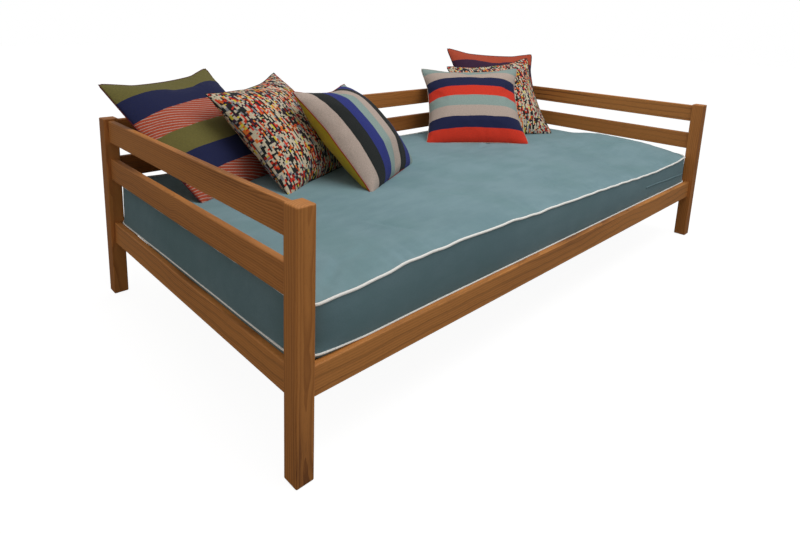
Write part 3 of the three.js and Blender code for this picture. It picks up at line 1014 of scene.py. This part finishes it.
class Weave:
    """The woven surface of one cushion's cover."""

    def __init__(self, name, inks):
        self.made = Finish(f"{name}_weave")
        self.inks = {}
        for key in INKS:
            self.inks[key] = tuple(min(1.0, DYE_LIFT * c) for c in getattr(inks, key)[:3]) + (1.0,)
        across, self.v = self.made.place("UV")[:2]
        self.is_back = across > 1.0
        self.u = across - self.is_back
        wander = self.made.noise(self.made.vector(self.u * 5, self.v * 5, 0.3), 1.0, 2.0)
        self.thread = self.made.noise(self.made.vector(self.u * 420, self.v * 420, 0.0), 1.0, 2.0, 0.7)
        self.u_line = self.u + (wander - 0.5) * 0.022
        self.v_line = self.v + (wander - 0.5) * 0.018

    def striped(self, along, count, share):
        """How much of the second yarn shows in a striped ground."""
        return (along * count + (self.thread - 0.5) * 0.25).fraction() > share

    def plain(self, key):
        """One yarn, or one ribbed pair of yarns."""
        if key not in RIBS:
            return self.inks[key]
        ground, rib, count, share = RIBS[key]
        ribbed = self.striped(self.v + self.u * 0.3, count, share)
        return self.made.mix(ribbed, self.inks[ground], self.inks[rib])

    def banded(self, kind, count, keys):
        """Even stripes across the front, its yarns taken in turn."""
        level = self.v_line if kind == "rows" else self.u_line
        colour = self.plain(keys[0])
        for stripe in range(1, count):
            colour = self.made.mix(level > stripe / count, colour, self.plain(keys[stripe % len(keys)]))
        return colour

    def specked(self):
        """Small cells of many yarns, in upright runs of uneven length."""
        made = self.made
        column = (self.u * 78 + self.is_back * 500 + (self.thread - 0.5) * 0.2).floor()
        bend = made.noise(made.vector(column * 3.7, self.v * 9, 0.0), 1.0, 1.0)
        row = (self.v * 44 + bend * 9 + (self.thread - 0.5) * 0.1).floor()
        cell = made.vector(column, row, 0.0)
        value = made.node("ShaderNodeTexWhiteNoise", {"noise_dimensions": "2D"}, {"Vector": cell})
        return made.ramp(value, [(start, self.inks[key]) for start, key in SPECKS], "CONSTANT")

    def finish(self, colour):
        """Adds the thread's light and dark, its fuzz and its relief."""
        made = self.made
        warp = (self.u * 420 * math.pi).sine()
        weft = (self.v * 420 * math.pi).sine()
        heather = made.noise(made.vector(self.u * 70, self.v * 190, 0.0), 1.0, 3.0, 0.7)
        shade = made.mix((heather - 0.5) * 0.9 + 0.22, colour, (0.02, 0.02, 0.022, 1.0))
        light = made.mix(made.spread(self.thread, 0.5, 0.85) * 0.08, shade, (0.62, 0.6, 0.56, 1.0))
        height = warp * weft * 0.4 + self.thread * 0.8 + heather * 0.5
        return made.surface(
            Base_Color=light,
            Roughness=0.86 + (self.thread - 0.5) * 0.16,
            Sheen_Weight=0.04,
            Sheen_Roughness=0.5,
            Specular_IOR_Level=0.2,
            Normal=made.bump(height, 0.35, 0.0009),
        )


def weave_for(name, inks):
    """The woven material of one cushion."""
    weave = Weave(name, inks)
    if name in STRIPED_COVERS:
        front = weave.banded(*STRIPED_COVERS[name])
        colour = weave.made.mix(weave.is_back, front, weave.plain(BACKS[name]))
    else:
        colour = weave.specked()
    return weave.finish(colour)


SEAM_INKS = {
    "cushion_left_rear": "maroon",
    "cushion_left_middle": "black",
    "cushion_left_front": "deep_red",
    "cushion_right_rear": "plum",
    "cushion_right_middle": "black",
    "cushion_right_front": "beige",
}


class DAYBED_OT_cushions(bpy.types.Operator):
    """Make the six scatter cushions and their seams"""

    bl_idname = "daybed.cushions"
    bl_label = "Cushions"

    def execute(self, context):
        look = context.scene.daybed_cushions
        inks = context.scene.daybed_inks
        for seed, name in enumerate(CUSHIONS, start=3):
            cover, path, normal = cushion_cover(name, look, seed)
            settle(cover, name, weave_for(name, inks))
            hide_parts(name)
            cord = tube(f"{name}_seam", path, look.cord, up=normal, sides=8)
            ink = tuple(getattr(inks, SEAM_INKS[name]))
            settle(cord, name, cord_cloth(f"{name}_seam_cotton", ink))
        return {"FINISHED"}


# Studio

def area_light(name, place, target, size, power, colour=(1, 1, 1)):
    lamp = bpy.data.lights.new(name, "AREA")
    lamp.shape = "RECTANGLE"
    lamp.size, lamp.size_y = size
    lamp.energy = power
    lamp.color = colour
    made = bpy.data.objects.new(name, lamp)
    made.location = place
    made.rotation_euler = (Vector(target) - Vector(place)).to_track_quat("-Z", "Y").to_euler()
    bpy.context.scene.collection.objects.link(made)


def white_world(strength):
    """A world that is white to the camera and lights the daybed at a given strength."""
    world = bpy.data.worlds.new("studio_world")
    world.use_nodes = True
    nodes = world.node_tree.nodes
    backdrop = next(n for n in nodes if n.type == "BACKGROUND")
    backdrop.inputs["Color"].default_value = (1, 1, 1, 1)
    seen = nodes.new("ShaderNodeLightPath").outputs["Is Camera Ray"]
    level = nodes.new("ShaderNodeMath")
    level.operation = "MAXIMUM"
    level.inputs[1].default_value = strength
    world.node_tree.links.new(seen, level.inputs[0])
    world.node_tree.links.new(level.outputs[0], backdrop.inputs["Strength"])
    bpy.context.scene.world = world


def camera_matrix(look):
    yaw = -look.heading
    pitch = -look.pitch
    ahead = Vector((-math.sin(yaw) * math.cos(pitch), math.cos(yaw) * math.cos(pitch), math.sin(pitch)))
    right = ahead.cross(Vector((0, 0, 1))).normalized()
    up = right.cross(ahead)
    turned = math.cos(look.roll) * right + math.sin(look.roll) * up
    upright = math.cos(look.roll) * up - math.sin(look.roll) * right
    turn = Matrix((turned, upright, -ahead)).transposed().to_4x4()
    return Matrix.Translation(look.eye) @ turn


def floor_finish(look):
    """Painted white cove with a trace of roller texture."""
    made = Finish("studio_white")
    x, y, z = made.place()
    roller = made.noise(made.vector(x, y, z), 60.0, 3.0)
    seen = made.node("ShaderNodeLightPath", output="Is Camera Ray")
    pale = tuple(0.22 * c for c in look.floor[:3]) + (1.0,)
    grey = tuple(0.20 * c for c in look.floor[:3]) + (1.0,)
    glow = made.mix(seen, (0.0, 0.0, 0.0, 1.0), (0.93, 0.93, 0.93, 1.0))
    return made.surface(
        Base_Color=made.mix(roller, pale, grey),
        Roughness=0.85 + (roller - 0.5) * 0.1,
        Emission_Color=glow,
        Emission_Strength=1.0,
        Normal=made.bump(roller, 0.05, 0.001),
    )


class DAYBED_OT_studio(bpy.types.Operator):
    """Make the floor, the lights and the camera"""

    bl_idname = "daybed.studio"
    bl_label = "Studio"

    def execute(self, context):
        look = context.scene.daybed_studio
        corners = [(-14, -14, 0), (14, -14, 0), (14, 14, 0), (-14, 14, 0)]
        floor = new_piece("studio_floor", corners, [(0, 1, 2, 3)])
        floor.data.materials.append(floor_finish(look))
        white_world(look.world)
        area_light("light_above", (0.3, -0.9, 3.2), (0.0, 0.0, 0.3), (2.8, 2.2), look.key)
        area_light("light_front", (-1.2, -3.4, 1.6), (0.0, 0.0, 0.4), (1.8, 1.8), look.fill)
        area_light("light_left", (-3.4, -0.6, 1.4), (0.0, 0.0, 0.4), (1.6, 1.2), look.warm, (1.0, 0.74, 0.5))
        lens = bpy.data.cameras.new("studio_camera")
        lens.lens = look.lens
        lens.sensor_width = 36
        lens.shift_x = look.shift_x
        lens.shift_y = look.shift_y
        camera = bpy.data.objects.new("studio_camera", lens)
        camera.matrix_world = camera_matrix(look)
        context.scene.collection.objects.link(camera)
        context.scene.camera = camera
        context.scene.view_settings.view_transform = "Standard"
        return {"FINISHED"}


# Add-on

SETTINGS = {
    "daybed_timber": TimberSettings,
    "daybed_mattress": MattressSettings,
    "daybed_cushions": CushionSettings,
    "daybed_inks": InkSettings,
    "daybed_studio": StudioSettings,
}
OPERATORS = (
    DAYBED_OT_timber,
    DAYBED_OT_fittings,
    DAYBED_OT_mattress,
    DAYBED_OT_cushions,
    DAYBED_OT_studio,
)


class DAYBED_PT_panel(bpy.types.Panel):
    """Sizes and colours of the daybed, with a button for each group of pieces"""

    bl_idname = "DAYBED_PT_panel"
    bl_label = "Daybed"
    bl_space_type = "VIEW_3D"
    bl_region_type = "UI"
    bl_category = "Daybed"

    def draw(self, context):
        for name, group in SETTINGS.items():
            box = self.layout.box()
            box.label(text=name.removeprefix("daybed_").title())
            for key in group.__annotations__:
                box.prop(getattr(context.scene, name), key)
        for operator in OPERATORS:
            self.layout.operator(operator.bl_idname)


def register():
    for group in SETTINGS.values():
        bpy.utils.register_class(group)
    for name, group in SETTINGS.items():
        setattr(bpy.types.Scene, name, bpy.props.PointerProperty(type=group))
    for operator in OPERATORS:
        bpy.utils.register_class(operator)
    bpy.utils.register_class(DAYBED_PT_panel)


def unregister():
    bpy.utils.unregister_class(DAYBED_PT_panel)
    for operator in reversed(OPERATORS):
        bpy.utils.unregister_class(operator)
    for name in SETTINGS:
        delattr(bpy.types.Scene, name)
    for group in reversed(SETTINGS.values()):
        bpy.utils.unregister_class(group)


def main():
    register()
    bpy.ops.daybed.timber()
    bpy.ops.daybed.fittings()
    bpy.ops.daybed.mattress()
    bpy.ops.daybed.cushions()
    bpy.ops.daybed.studio()


if __name__ == "__main__":
    main()
